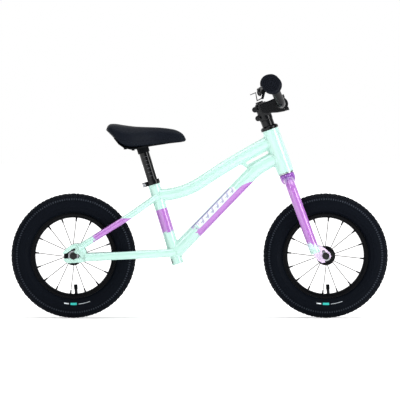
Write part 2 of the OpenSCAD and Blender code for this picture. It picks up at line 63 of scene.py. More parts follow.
class Field:
    """A number that a material's nodes compute; arithmetic on it adds nodes."""

    def __init__(self, tree, socket):
        self.tree = tree
        self.socket = socket

    def math(self, kind, *others):
        node = self.tree.nodes.new("ShaderNodeMath")
        node.operation = kind
        for socket, value in zip(node.inputs, (self, *others)):
            plug(self.tree, value, socket)
        return Field(self.tree, node.outputs[0])

    def __add__(self, other):
        return self.math("ADD", other)

    def __sub__(self, other):
        return self.math("SUBTRACT", other)

    def __mul__(self, other):
        return self.math("MULTIPLY", other)

    def flip(self):
        return self.math("MULTIPLY_ADD", -1.0, 1.0)

    def either(self, other):
        return self.math("MAXIMUM", other)

    def step(self, low, high):
        """0 below low and 1 above high, with a soft edge between them."""
        node = self.tree.nodes.new("ShaderNodeMapRange")
        node.interpolation_type = "SMOOTHSTEP"
        for socket, value in zip(node.inputs, (self, low, high, 0.0, 1.0)):
            plug(self.tree, value, socket)
        return Field(self.tree, node.outputs[0])

    def within(self, low, high, soft=0.3):
        return self.step(low - soft, low + soft) * self.step(high - soft, high + soft).flip()

    def stripes(self, pitch, share, soft=0.04):
        """Repeats every pitch: 1 over the first share of it."""
        part = (self * (1 / pitch)).math("FRACT")
        return part.step(share - soft, share + soft).flip()


def plug(tree, value, socket):
    if isinstance(value, Field):
        tree.links.new(value.socket, socket)
    else:
        socket.default_value = value


class Finish:
    """One material: a base colour, painted areas, grain and a surface."""

    def __init__(self, name, colour, rough=0.4, metal=0.0, coat=0.0, specular=0.5):
        self.material = bpy.data.materials.new(name)
        self.material.use_nodes = True
        self.tree = self.material.node_tree
        self.shader = self.tree.nodes["Principled BSDF"]
        self.shader.inputs["Metallic"].default_value = metal
        self.shader.inputs["Coat Weight"].default_value = coat
        self.shader.inputs["Coat Roughness"].default_value = 0.04
        self.shader.inputs["Specular IOR Level"].default_value = specular
        coordinates = self.tree.nodes.new("ShaderNodeTexCoord")
        self.at = coordinates.outputs["Object"]
        split = self.tree.nodes.new("ShaderNodeSeparateXYZ")
        self.tree.links.new(self.at, split.inputs[0])
        self.x, self.y, self.z = (Field(self.tree, s) * 1000.0 for s in split.outputs)
        variation = self.noise(14.0) - 0.5
        self.colour = self.tint(colour, variation * 0.10 + 1.0)
        plug(self.tree, variation * (0.35 * rough) + rough, self.shader.inputs["Roughness"])
        self.height = None

    def noise(self, scale, detail=3.0):
        node = self.tree.nodes.new("ShaderNodeTexNoise")
        node.inputs["Scale"].default_value = scale
        node.inputs["Detail"].default_value = detail
        self.tree.links.new(self.at, node.inputs["Vector"])
        return Field(self.tree, node.outputs[0])

    def cells(self, scale):
        node = self.tree.nodes.new("ShaderNodeTexVoronoi")
        node.inputs["Scale"].default_value = scale
        self.tree.links.new(self.at, node.inputs["Vector"])
        return Field(self.tree, node.outputs[0])

    def tint(self, colour, amount):
        node = self.tree.nodes.new("ShaderNodeMix")
        node.data_type = "RGBA"
        node.blend_type = "MULTIPLY"
        node.inputs[0].default_value = 1.0
        node.inputs[6].default_value = (*linear(colour), 1.0)
        self.tree.links.new(amount.socket, node.inputs[7])
        return node.outputs[2]

    def paint(self, colour, mask):
        node = self.tree.nodes.new("ShaderNodeMix")
        node.data_type = "RGBA"
        plug(self.tree, mask, node.inputs[0])
        self.tree.links.new(self.colour, node.inputs[6])
        node.inputs[7].default_value = (*linear(colour), 1.0)
        self.colour = node.outputs[2]

    def raise_by(self, height):
        self.height = height if self.height is None else self.height + height

    def grain(self, scale, depth):
        self.raise_by(self.noise(scale) * depth)

    def done(self, bump=0.2, distance=0.0004):
        self.tree.links.new(self.colour, self.shader.inputs["Base Color"])
        if self.height is not None:
            node = self.tree.nodes.new("ShaderNodeBump")
            node.inputs["Strength"].default_value = bump
            node.inputs["Distance"].default_value = distance
            self.tree.links.new(self.height.socket, node.inputs["Height"])
            self.tree.links.new(node.outputs[0], self.shader.inputs["Normal"])
        return self.material


def linear(colour):
    return [((v / 255 + 0.055) / 1.055) ** 2.4 if v > 10 else v / 255 / 12.92 for v in colour]


MINT = (182, 222, 210)
LILAC = (172, 110, 192)
# Lilac for the painted shade on the down tube's underside
SHADED_LILAC = (150, 90, 176)
PURPLE = (132, 66, 168)
PALE = (243, 240, 252)
PALE_LILAC = (228, 205, 240)
GLOSS = {"rough": 0.2, "coat": 1.0}
PAINT_GRAIN = 900.0


def lacquered(finish):
    """The fine grain under every gloss paint."""
    finish.grain(PAINT_GRAIN, 0.25)
    return finish.done(0.05)


def ragged(finish, edge, depth):
    """Moves an edge in and out by small blocks, as the paint's printed ends do."""
    blocks = (finish.cells(190.0) - 0.3) * depth
    return edge + blocks


def on_seat_tube(f):
    """Distances along the seat tube, and ahead of its axis."""
    x = f.x + 54.0
    z = f.z - 135.3
    return x * -0.2924 + z * 0.9563, x * 0.9563 + z * 0.2924


def down_tube_paint():
    f = Finish("frame_paint_down_tube", MINT, **GLOSS)
    along = f.x * 0.6949 + f.z * 0.7190
    across = f.z * 0.6949 - f.x * 0.7190 - 157.3
    start = ragged(f, along, 16.0).step(150.0, 151.5)
    taper = (along - 300.0).math("MAXIMUM", 0.0)
    lilac_top = across + taper * taper * 0.0098
    band = start * lilac_top.step(-2.2, -1.4).flip()
    f.paint(LILAC, band)
    # Painted shade: the lilac band is mixed darker towards the tube's underside.
    underside_shade = band * across.step(-16.0, -9.0).flip()
    f.paint(SHADED_LILAC, underside_shade * 0.55)
    lettering = across.within(0.8, 11.5, 0.3) * along.within(166.0, 292.0, 0.4)
    lean = along - across * 0.55
    f.paint(PALE, across.within(-0.8, 12.6, 0.5) * along.within(163.0, 294.0, 1.0) * 0.75)
    strokes = lean.stripes(17.5, 0.34) * lettering
    f.paint((176, 170, 205), strokes)
    notches = (lean + 5.0).stripes(17.5, 0.62) * across.within(4.8, 6.8, 0.25) * lettering
    f.paint((158, 178, 186), notches)
    blocks = f.cells(150.0).step(0.28, 0.36).flip()
    printed = blocks * along.within(147.0, 163.0, 3.5) * across.step(12.0, 12.6).flip()
    f.paint(LILAC, printed * 0.85)
    pinstripe = across.within(12.9, 15.4, 0.25) * along.within(148.0, 284.0, 0.6)
    f.paint(PURPLE, pinstripe * 0.85)
    return lacquered(f)


def seat_tube_paint():
    f = Finish("frame_paint_seat_tube", MINT, **GLOSS)
    along, ahead = on_seat_tube(f)
    band = ragged(f, along, 14.0).step(86.0, 87.5) * along.step(143.0, 143.8).flip()
    f.paint(LILAC, band)
    outline = f.cells(260.0).within(0.30, 0.42, 0.03) * along.within(82.0, 97.0, 3.0)
    f.paint((140, 120, 176), outline * 0.8)
    near_side = f.y.step(-2.0, -1.0).flip()
    # Painted shade: a dark slot on the near side, low at the tube's rear, standing in for a shaded
    # opening.
    slot = ahead.within(-13.6, -10.6, 0.4) * along.within(4.5, 17.5, 0.6) * near_side
    f.paint((60, 70, 72), slot)
    return lacquered(f)


def seat_stay_paint(name):
    f = Finish(name, MINT, **GLOSS)
    across = f.z * 0.848 - f.x * 0.530 - 309.0
    start = ragged(f, f.x, 14.0).step(-261.0, -259.0)
    band = start * (f.x + across * 1.9).step(-184.0, -182.0).flip()
    f.paint(LILAC, band)
    marks = f.cells(230.0).within(0.30, 0.40, 0.03) * f.x.within(-266.0, -240.0, 4.0)
    f.paint((150, 130, 186), marks * 0.7)
    return lacquered(f)


def mint_paint():
    return lacquered(Finish("frame_paint_mint", MINT, **GLOSS))


def fork_paint(name, pale=False):
    f = Finish(name, PALE_LILAC if pale else LILAC, rough=0.18, coat=1.0)
    if not pale:
        # Painted shade: darker purple at the top of the legs, under the crown and head tube.
        f.paint(PURPLE, f.z.step(335.0, 352.0) * 0.9)
        edge = ragged(f, f.z, 18.0)
        f.paint((205, 236, 238), edge.step(186.0, 192.0).flip() * 0.9)
        f.paint(MINT, edge.step(176.0, 180.0).flip())
    return lacquered(f)


def tyre_rubber(name, centre):
    f = Finish(name, (9, 13, 20), rough=0.6, specular=0.04)
    x = f.x - centre.x
    z = f.z - centre.z
    out = (x * x + z * z).math("SQRT")
    turn = z.math("ARCTAN2", x) * (180 / math.pi)
    near = f.y.step(14.0, 16.0).either(f.y.step(-16.0, -14.0).flip())
    dash = out.within(119.0, 121.5, 0.3) * turn.within(-101.0, -95.5, 0.3)
    bar = out.within(117.5, 123.0, 0.3) * turn.within(-93.5, -86.0, 0.2)
    arc = out.within(120.6, 121.7, 0.25) * turn.within(-84.0, -70.0, 0.3)
    f.paint((225, 232, 236), dash * near)
    f.paint((60, 190, 180), bar * near)
    f.paint((200, 208, 214), arc * near)
    # Painted highlight: a light grey serrated ring on the shoulder knobs.
    f.paint((62, 68, 77), out.within(139.5, 143.5, 0.8) * turn.stripes(2.4, 0.45, 0.12) * 0.7)
    # Painted highlight: a lighter line along the bead at the rim's edge.
    f.paint((52, 58, 66), out.within(106.0, 107.4, 0.5) * 0.6)
    # Painted sheen: lighter patches on the tread.
    tread_sheen = f.noise(60.0).step(0.45, 0.75) * out.step(150.0, 155.0)
    f.paint((24, 28, 35), tread_sheen * 0.35)
    rings = (out * 0.5).math("SINE") * out.within(112.0, 133.0, 1.5)
    f.raise_by(rings * 0.15)
    f.grain(420.0, 0.8)
    return f.done(0.25, 0.0005)


def plain(name, colour, rough, grain=600.0, depth=0.5, bump=0.15, **surface):
    f = Finish(name, colour, rough, **surface)
    f.grain(grain, depth)
    return f.done(bump)


def vinyl():
    f = Finish("saddle_vinyl", (14, 18, 26), rough=0.5, specular=0.06)
    f.raise_by(f.cells(900.0) * 0.7)
    f.grain(70.0, 0.35)
    # Lighter patches on the top of the pad.
    top_patches = f.noise(24.0).step(0.5, 0.8) * f.z.step(470.0, 482.0)
    f.paint((21, 26, 34), top_patches * 0.5)
    return f.done(0.22)


def ribbed_rubber():
    f = Finish("grip_rubber", (12, 15, 23), rough=0.6, specular=0.08)
    f.raise_by(f.cells(700.0) * 0.6)
    f.grain(350.0, 0.5)
    return f.done(0.25)


def threaded_steel():
    f = Finish("bright_steel", (176, 179, 184), rough=0.28, metal=1.0)
    ends = f.y.step(60.0, 60.5).either(f.y.step(-60.5, -60.0).flip())
    threads = (f.y * (2 * math.pi)).math("SINE") * ends
    f.raise_by(threads * 0.5)
    f.grain(1200.0, 0.3)
    return f.done(0.4)


def post_black():
    f = Finish("seat_post_black", (4, 5, 7), rough=0.14, coat=0.1, specular=0.2)
    along, _ = on_seat_tube(f)
    near_side = f.y.step(-12.2, -11.6).flip()
    marks = along.stripes(10.0, 0.07, 0.015) * along.within(224.0, 282.0, 0.5) * near_side
    f.paint((90, 92, 98), marks)
    f.grain(900.0, 0.2)
    return f.done(0.06)


wheel_at = {}
for wheel in ("front", "rear"):
    low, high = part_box(wheel + "_rim")
    wheel_at[wheel] = (low + high) * 500

# By material slot
MATERIALS = {
    "frame_paint": mint_paint(),
    "fork_paint": fork_paint("fork_paint"),
    "black_alloy": plain("black_alloy", (4, 5, 8), 0.2, coat=0.08, specular=0.2),
    "black_steel": plain("black_steel", (12, 13, 15), 0.28, specular=0.4),
    "bright_steel": threaded_steel(),
    "black_plastic": plain(
        "black_plastic", (8, 10, 13), 0.6, specular=0.06, grain=800.0, depth=0.8, bump=0.2
    ),
    "saddle_cover": vinyl(),
    "grip_rubber": ribbed_rubber(),
    "bell_metal": plain("bell_metal", (5, 6, 9), 0.14, coat=0.2, specular=0.3),
    "tube_rubber": plain("tube_rubber", (20, 21, 24), 0.6, specular=0.3),
    "black_rim": plain("black_rim", (4, 5, 8), 0.34, specular=0.08),
    "spoke_steel": plain("spoke_steel", (84, 80, 79), 0.3, metal=0.7),
}
# By node, where one differs from its slot
SPECIAL = {
    "down_tube": down_tube_paint(),
    "seat_tube": seat_tube_paint(),
    "seatstay_left": seat_stay_paint("seat_stay_paint_left"),
    "seatstay_right": seat_stay_paint("seat_stay_paint_right"),
    "fork_tip_left": fork_paint("fork_tip_paint_left", True),
    "fork_tip_right": fork_paint("fork_tip_paint_right", True),
    "seat_post": post_black(),
    "saddle_bolts": plain("saddle_bolt_black", (10, 11, 13), 0.4, specular=0.2),
    "stem_bolts": plain("bolt_black", (10, 11, 13), 0.3, specular=0.35),
    "front_axle": plain("front_axle_black", (16, 17, 19), 0.32, specular=0.35),
    "rear_axle": plain("rear_axle_black", (16, 17, 19), 0.32, specular=0.35),
    "front_tyre": tyre_rubber("tyre_rubber_front", wheel_at["front"]),
    "rear_tyre": tyre_rubber("tyre_rubber_rear", wheel_at["rear"]),
}


# Mesh building

MERGE_DISTANCE = 1e-6
SHARP_ANGLE = 38


def along(origin, heading, normal=(0, 1, 0)):
    """Frame with Z along a heading and Y towards a normal."""
    z = Vector(heading).normalized()
    y = Vector(normal)
    y = (y - y.dot(z) * z).normalized()
    x = y.cross(z)
    place = Matrix((x, y, z)).transposed().to_4x4()
    place.translation = Vector(origin)
    return place


def rounded(points, radii, steps=10):
    """Points along straight lines joined by round corners."""
    points = [Vector(p) for p in points]
    line = [points[0]]
    for before, at, after, radius in zip(points, points[1:], points[2:], radii):
        a = (at - before).normalized()
        b = (after - at).normalized()
        turn = math.acos(max(-1, min(1, a.dot(b))))
        across = (b - a.dot(b) * a).normalized()
        start = at - radius * math.tan(turn / 2) * a
        for k in range(steps + 1):
            t = turn * k / steps
            line.append(start + radius * (1 - math.cos(t)) * across + radius * math.sin(t) * a)
    line.append(points[-1])
    return line


class Shape:
    """Collects the faces of one piece."""

    def __init__(self):
        self.verts = []
        self.faces = []

    def rings(self, rings, closed=False, ring_closed=True, capped=True):
        base = len(self.verts)
        n = len(rings[0])
        m = len(rings)
        for ring in rings:
            self.verts.extend(ring)
        for i in range(m if closed else m - 1):
            for k in range(n if ring_closed else n - 1):
                a = base + i * n
                b = base + (i + 1) % m * n
                self.faces.append((a + k, a + (k + 1) % n, b + (k + 1) % n, b + k))
        if capped and not closed:
            self.faces.append(tuple(base + k for k in reversed(range(n))))
            self.faces.append(tuple(base + (m - 1) * n + k for k in range(n)))
        return self

    def lathe(self, profile, place=Matrix(), n=96, looped=True):
        """Turns a profile of (height, radius) points about the Z axis of a frame."""
        turned = []
        for k in range(n):
            t = 2 * math.pi * k / n
            c, s = math.cos(t), math.sin(t)
            turned.append([place @ Vector((r * c, r * s, h)) for h, r in profile])
        return self.rings(turned, closed=True, ring_closed=looped)

    def sweep(self, path, radius, n=12, closed=False):
        """Moves a circle along a path; radius is one number or one for each point."""
        path = [Vector(p) for p in path]
        count = len(path)
        turns = [2 * math.pi * k / n for k in range(n)]
        side = Vector((0, 1, 0))
        rings = []
        for i, p in enumerate(path):
            before = path[i - 1] if closed or i else path[0]
            after = path[(i + 1) % count] if closed or i < count - 1 else path[-1]
            heading = (after - before).normalized()
            if abs(side.dot(heading)) > 0.95:
                side = Vector((1, 0, 0)) if abs(heading.x) < 0.9 else Vector((0, 0, 1))
            side = (side - side.dot(heading) * heading).normalized()
            up = heading.cross(side)
            r = radius[i] if isinstance(radius, list) else radius
            rings.append([p + r * (math.cos(t) * side + math.sin(t) * up) for t in turns])
        return self.rings(rings, closed=closed)

    def mesh(self, name, sharp=SHARP_ANGLE):
        mesh = bpy.data.meshes.new(name)
        mesh.from_pydata([Vector(v) * 0.001 for v in self.verts], [], self.faces)
        work = bmesh.new()
        work.from_mesh(mesh)
        bmesh.ops.remove_doubles(work, verts=work.verts, dist=MERGE_DISTANCE)
        bmesh.ops.dissolve_degenerate(work, edges=work.edges, dist=1e-7)
        bmesh.ops.recalc_face_normals(work, faces=work.faces)
        work.to_mesh(mesh)
        work.free()
        for polygon in mesh.polygons:
            polygon.use_smooth = True
        mesh.set_sharp_from_angle(angle=math.radians(sharp))
        return mesh

    def piece(self, name, body, slot, replaced=(), finish=None, sharp=SHARP_ANGLE):
        obj = bpy.data.objects.new(name, self.mesh(name, sharp))
        bpy.context.collection.objects.link(obj)
        obj.data.materials.append(finish or MATERIALS[slot])
        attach(obj, body)
        if replaced:
            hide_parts(*replaced)
        return obj


def settled(obj):
    """Applies an object's modifiers to its mesh."""
    graph = bpy.context.evaluated_depsgraph_get()
    graph.update()
    mesh = bpy.data.meshes.new_from_object(obj.evaluated_get(graph))
    materials = list(obj.data.materials)
    obj.modifiers.clear()
    obj.data = mesh
    if not mesh.materials:
        for material in materials:
            mesh.materials.append(material)
    for polygon in mesh.polygons:
        polygon.use_smooth = True


def blended(obj, voxel, rounds):
    """Melts an object's overlapping solids into one smooth casting."""
    remesh = obj.modifiers.new("Blend", "REMESH")
    remesh.mode = "VOXEL"
    remesh.voxel_size = voxel
    smooth = obj.modifiers.new("Flow", "SMOOTH")
    smooth.factor = 0.5
    smooth.iterations = rounds
    settled(obj)


# Carried-over CAD nodes: procedural finishes, rounded edges and smooth shading

PLAIN_EDGE = 0.25
LARGE_EDGE = 0.8
EDGE = {
    "stem_faceplate": 1.4, "head_gusset": 1.2, "dropout_left": 0.8, "dropout_right": 0.8,
    "fork_tip_left": 0.8, "fork_tip_right": 0.8, "seat_clamp": 0.9, "saddle_base": 1.0,
    "saddle_socket": 1.0, "head_tube": 0.6, "seat_tube": 0.4, "bell_bracket": 0.5, "bell_striker": 0.35,
    "headset_cap": 0.7, "rear_axle_nuts": 0.5, "front_axle_nuts": 0.5, "headset_spacer": 0.4,
    "stem_top_cap": 0.4,
}

for name, obj in nodes.items():
    mesh = obj.data
    mesh.materials.clear()
    mesh.materials.append(SPECIAL.get(name, MATERIALS.get(slot_of[name])))
    if "custom_normal" in mesh.attributes:
        mesh.attributes.remove(mesh.attributes["custom_normal"])
    for polygon in mesh.polygons:
        polygon.use_smooth = True
    obj.modifiers.new("Weld", "WELD").merge_threshold = 2e-6
    edge = obj.modifiers.new("Edges", "BEVEL")
    edge.width = EDGE.get(name, PLAIN_EDGE) * 0.001
    edge.segments = 3 if EDGE.get(name, PLAIN_EDGE) >= LARGE_EDGE else 2
    edge.limit_method = "ANGLE"
    edge.angle_limit = math.radians(42)
    obj.modifiers.new("Shading", "WEIGHTED_NORMAL")


# Wheels, about frames whose Z axis lies across the bike

SPOKES = 16
SPOKE_PITCH = 360 / SPOKES


def casing(angle, lift=0.0):
    """(height, radius) on a tyre's outer surface, by its angle from the crown."""
    t = math.radians(angle)
    return (27.2 + lift) * math.sin(t), 128 + (26.7 + lift) * math.cos(t)


def tyre_profile():
    outer = []
    for angle in range(-132, 133, 4):
        ridge = 0.6 if abs(angle) in (104, 124) else 0.0
        outer.append(casing(angle, ridge))
    bead = [
        (17.6, 108.4), (14.4, 107.2), (13.4, 105.0), (13.4, 101.8), (11.4, 101.8), (11.2, 106.4),
        (16.0, 112.0),
    ]
    inner = [casing(angle, -2.6) for angle in range(124, -125, -8)]
    return [*outer, *bead, *inner, *[(-h, r) for h, r in reversed(bead)]]


# Rows of tread blocks: angle from the crown, number round the tyre, half length and half width
TREAD = [
    (0, 84, 2.2, 4.0), (17, 84, 2.2, 3.0), (32, 84, 2.0, 2.8), (46, 96, 1.6, 2.2), (58, 112, 1.2, 1.6),
    (68, 128, 0.9, 1.2),
]


def add_tread(shape, place):
    """Small blocks with tapered sides round the crown and both shoulders."""
    rows = []
    for angle, *rest in TREAD:
        for side in (1, -1) if angle else (1,):
            rows.append((side * angle, *rest))
    for angle, count, long, wide in rows:
        half = math.degrees(wide / 27)
        for k in range(count):
            turn = 2 * math.pi * (k + abs(angle) % 2 * 0.5) / count
            skew = 0.008 * (1 if angle >= 0 else -1) * (1 if k % 2 else -1)
            rings = []
            for lift, size in ((-0.6, 1.0), (0.9, 0.92), (1.25, 0.78)):
                ring = []
                for u, v in ((-1, -1), (1, -1), (1, 1), (-1, 1)):
                    h, r = casing(angle + v * half * size, lift)
                    t = turn + u * size * long / 154 + v * skew
                    ring.append(place @ Vector((r * math.cos(t), r * math.sin(t), h)))
                rings.append(ring)
            shape.rings(rings)


RIM_PROFILE = [
    (-9.0, 95.4), (-7.0, 95.0), (7.0, 95.0), (9.0, 95.4), (15.6, 98.2), (16.3, 99.4), (16.5, 105.9),
    (16.1, 106.8), (15.2, 107.0), (14.3, 106.6), (14.2, 105.4), (14.1, 101.4), (10.2, 101.2), (8.4, 98.4),
    (-8.4, 98.4), (-10.2, 101.2), (-14.1, 101.4), (-14.2, 105.4), (-14.3, 106.6), (-15.2, 107.0),
    (-16.1, 106.8), (-16.5, 105.9), (-16.3, 99.4), (-15.6, 98.2),
]
HUB_SIDE = [
    (0, 14.2), (17.6, 14.4), (20.6, 15.6), (22.2, 19.0), (22.4, 22.8), (23.0, 24.0), (24.9, 24.0),
    (25.6, 23.0), (25.7, 18.4), (27.4, 16.0), (41.5, 15.4), (43.4, 14.8), (44.0, 13.4), (43.2, 12.9),
    (42.6, 8.2), (42.6, 5.2),
]


def spoke_ends(k):
    turn = math.radians(85.5 - k * SPOKE_PITCH)
    side = 1 if k % 2 == 0 else -1
    rim_end = Vector((97.5 * math.cos(turn), 97.5 * math.sin(turn), side * 3))
    hub_turn = turn + math.radians(side * 8)
    elbow = Vector((21 * math.cos(hub_turn), 21 * math.sin(hub_turn), side * 27.0))
    return rim_end, elbow, side


def add_spokes(spokes, nipples, place):
    for k in range(SPOKES):
        rim_end, elbow, side = spoke_ends(k)
        out = (rim_end - elbow).normalized()
        bend = rounded([rim_end, elbow, elbow - Vector((0, 0, side * 5))], [2.2], 5)
        spokes.sweep([place @ p for p in bend], 1.0, 10)
        head = [(0, 0.0), (0, 1.9), (-0.9, 1.6), (-1.2, 0.8), (-1.2, 0.0)]
        head_at = elbow - Vector((0, 0, side * 4.6))
        spokes.lathe(head, place @ along(head_at, (0, 0, side), (0, 1, 0.1)), 10, False)
        nipple = [(0, 1.05), (0, 1.7), (1.2, 2.0), (5.0, 2.0), (9.6, 2.6), (12.6, 3.4), (12.6, 1.05)]
        nipples.lathe(nipple, place @ along(rim_end - 11.8 * out, out, (0, 0, 1)), 14)


for wheel, centre in wheel_at.items():
    body = wheel + "_wheel"
    place = Matrix.Translation(centre) @ Matrix.Rotation(math.radians(90), 4, "X")
    tyre = Shape().lathe(tyre_profile(), place, 240)
    add_tread(tyre, place)
    name = wheel + "_tyre"
    tyre.piece(name + "_looks", body, "tyre_rubber", [name], SPECIAL[name], 32)
    rim = Shape().lathe(RIM_PROFILE, place, 200)
    rim.piece(wheel + "_rim_looks", body, "black_rim", [wheel + "_rim"], sharp=50)
    hub = Shape().lathe([(-h, r) for h, r in reversed(HUB_SIDE)] + HUB_SIDE[1:], place, 72)
    hub.piece(wheel + "_hub_looks", body, "black_rim", [wheel + "_hub"], sharp=50)
    spokes = Shape()
    nipples = Shape()
    add_spokes(spokes, nipples, place)
    spokes.piece(wheel + "_spokes_looks", body, "spoke_steel", [wheel + "_spokes"], sharp=60)
    nipples.piece(wheel + "_nipples_looks", body, "black_steel", [wheel + "_nipples"], sharp=50)


# Welds: rippled beads along the lines where tubes meet



def leaning_back(degrees):
    t = math.radians(degrees)
    return Vector((-math.sin(t), 0, math.cos(t)))


steer_dir = leaning_back(20.2)
head_low = joint_at["steering"]
seat_dir = leaning_back(17)
seat_low = Vector((-54, 0, 135.3))


def onto(p, heading, round_tube):
    """Moves a point along a heading to where it enters a round tube (point, axis, radius)."""
    origin, axis, radius = round_tube
    q = p - origin
    across = q - q.dot(axis) * axis
    flow = heading - heading.dot(axis) * axis
    a = flow.dot(flow)
    b = across.dot(flow)
    c = across.dot(across) - radius * radius
    return p + heading * (-b - math.sqrt(max(0, b * b - a * c))) / a


def weld_line(start, heading, wide, high, corner, normal, round_tube, n=80):
    place = along(start, heading, normal)
    line = []
    for k in range(n):
        t = 2 * math.pi * (k + 0.5) / n
        c, s = math.cos(t), math.sin(t)
        x = math.copysign(wide / 2 - corner, c) + corner * c
        y = math.copysign(high / 2 - corner, s) + corner * s
        line.append(onto(place @ Vector((x, y, 0)), Vector(heading).normalized(), round_tube))
    return even(line, 1.1)


def even(loop, pitch):
    """Spaces a closed loop's points evenly."""
    lengths = [0.0]
    for a, b in zip(loop, loop[1:] + loop[:1]):
        lengths.append(lengths[-1] + (b - a).length)
    count = max(12, round(lengths[-1] / pitch / 3) * 3)
    spaced = []
    i = 0
    for k in range(count):
        at = lengths[-1] * k / count
        while lengths[i + 1] < at:
            i += 1
        a, b = loop[i], loop[(i + 1) % len(loop)]
        spaced.append(a.lerp(b, (at - lengths[i]) / max(1e-9, lengths[i + 1] - lengths[i])))
    return spaced


head_round = (head_low, steer_dir, 21.2)
seat_round = (seat_low, seat_dir, 14.95)
top_seat, top_low = seat_low + 178.8 * seat_dir, Vector((-37, 0, 312.4))
top_high, top_head = Vector((85.5, 0, 393.5)), head_low + 89 * steer_dir
down_seat, down_bend = seat_low + 27.9 * seat_dir, Vector((145.7, 0, 377.1))
down_head = head_low + 42.7 * steer_dir
across_bike, upwards = (0, 1, 0), (0, 0, 1)
# Point on a tube's line, its heading, its section's width, height and corner, and what it meets
joins = [
    (top_high, top_head - top_high, 31, 28, 12.5, across_bike, head_round),
    (down_bend, down_head - down_bend, 35, 33, 14, across_bike, head_round),
    (top_low, top_seat - top_low, 31, 28, 12.5, across_bike, seat_round),
    (down_bend, down_seat - down_bend, 35, 29.6, 14, across_bike, seat_round),
]
for s in (-1, 1):
    chainstay, chainstay_heading = Vector((-150, 42 * s, 158.7)), Vector((86, -32 * s, 4.3))
    seatstay, seatstay_heading = Vector((-181, 41 * s, 251)), Vector((72, -31 * s, 51))
    joins.append((chainstay, chainstay_heading, 15, 20, 7, upwards, seat_round))
    joins.append((seatstay, seatstay_heading, 16, 16, 8, upwards, seat_round))

welds = Shape()
for join in joins:
    line = weld_line(*join)
    ripples = [1.75 + 0.4 * math.cos(2 * math.pi * k / 3) for k in range(len(line))]
    welds.sweep(line, ripples, 10, True)
welds.piece("frame_welds", "frame", "frame_paint", sharp=80)


# Fork: crown and legs flow into one another

on_steering = along(head_low, steer_dir)
fork = Shape()
crown = [
    (-31.6, 0.0), (-31.2, 8.0), (-29, 13.4), (-24, 17.4), (-17, 19.2), (-6, 19.5), (-3.6, 18.6),
    (-3, 12.75), (-3, 0.0),
]
fork.lathe(crown, on_steering, 64, False)
leg_line = [(0, 4, -17), (0, 46, -28), (0, 52.5, 15.3 - 229.3)]
for s in (-1, 1):
    leg = rounded([(x, s * y, z) for x, y, z in leg_line], [28], 12)
    fork.sweep([on_steering @ p for p in leg], 12.4, 32)
forged = ["fork_crown", "fork_leg_left", "fork_leg_right"]
blended(fork.piece("fork_looks", "steering", "fork_paint", forged), 0.0013, 6)


# Stem: a humped casting with two round pinch bosses, bored for the bar

HEAD_TUBE = 114.5
CAP_GAP = 0.3
HEADSET_CAP = 9.5
SPACER = 15.5
BORE_RADIUS = 12.78

stem_low = HEAD_TUBE + CAP_GAP + HEADSET_CAP + SPACER
on_stem = along(head_low + stem_low * steer_dir, steer_dir)
bar_at = joint_at["bar_tilt"]


def slab(shape, outline, half, place):
    """Extrudes a side outline of (forward, up) points to both sides of the mid plane."""
    rings = [[place @ Vector((x, y, z)) for x, z in outline] for y in (-half, half)]
    shape.rings(rings)


stem = Shape()
neck = [(0, 0), (0, 16.2), (0.8, 17.0), (38, 17.0), (42.5, 15.4), (45.9, 12.0), (45.9, 0)]
stem.lathe(neck, on_stem, 64, False)
hump = [
    (8, 12), (18, 12.5), (24, 10.5), (32, 8), (51, 4.6), (51, 45.6), (38, 44.4), (22, 43.4), (6, 43.6),
    (-6, 42), (-6, 20),
]
slab(stem, hump, 17.5, on_stem)
for z in (11.0, 34.0):
    boss = on_stem @ along((-18.5, 12, z), (0, -1, 0), (0, 0, 1))
    stem.lathe([(0, 0), (0, 6.2), (1.0, 7.2), (23.0, 7.2), (24.0, 6.2), (24, 0)], boss, 40, False)
    slab(stem, [(-19, z - 5), (-10, z - 6.5), (-10, z + 6.5), (-19, z + 5)], 11.0, on_stem)
stem = stem.piece("stem_looks", "steering", "black_alloy", ["stem"])
blended(stem, 0.0009, 9)

rod = [(-40, 0), (-40, BORE_RADIUS), (40, BORE_RADIUS), (40, 0)]
rod = Shape().lathe(rod, along(bar_at, (0, 1, 0), (0, 0, 1)), 96, False)
cutter = bpy.data.objects.new("bore", rod.mesh("bore"))
bpy.context.collection.objects.link(cutter)
cut = stem.modifiers.new("Bore", "BOOLEAN")
cut.object = cutter
cut.solver = "FAST"
settled(stem)
bpy.data.objects.remove(cutter)


# Handlebar grips and bell

BEND_OUT = 84
END_OUT = 209
GRIP_OUT = 112
BELL_OUT = 103
GRIP_CAP = 3

bar_bend = bar_at + Vector((-20, BEND_OUT, 45.4))
bar_end = bar_at + Vector((-27.5, END_OUT, 51))


def on_bar(out):
    """Point on the straight end of the bar, by its distance from the mid plane."""
    return bar_bend.lerp(bar_end, (out - BEND_OUT) / (END_OUT - BEND_OUT))


grip_in = on_bar(GRIP_OUT)
grip_length = (bar_end - grip_in).length + GRIP_CAP
grip_bore = grip_length - GRIP_CAP


def grip_profile():
    profile = [(0, 11.1), (0, 21.8), (0.9, 22.8), (3.6, 23.0), (5.0, 22.0), (6.4, 18.0), (8.4, 15.4)]
    ribs = 15
    valley, crest = 14.6, 15.55
    pitch = (grip_length - 17.0) / ribs
    for i in range(ribs):
        h = 9.0 + i * pitch
        rib = ((0, valley), (0.25, crest), (0.62, crest), (0.85, valley))
        profile += [(h + share * pitch, r) for share, r in rib]
    e = grip_length
    collar = ((7.0, 16.0), (5.6, 22.6), (4.8, 23.5), (1.0, 23.5), (0.1, 22.7), (0, 21.6))
    profile += [(e - back, r) for back, r in collar]
    for r in (19.0, 14.4, 9.8):
        profile += [(e, r), (e - 0.9, r - 0.5), (e - 0.9, r - 1.7), (e, r - 2.2)]
    return [*profile, (e, 3.0), (e - 1.4, 2.6), (e - 1.4, 0.0), (grip_bore, 0.0), (grip_bore, 11.1)]


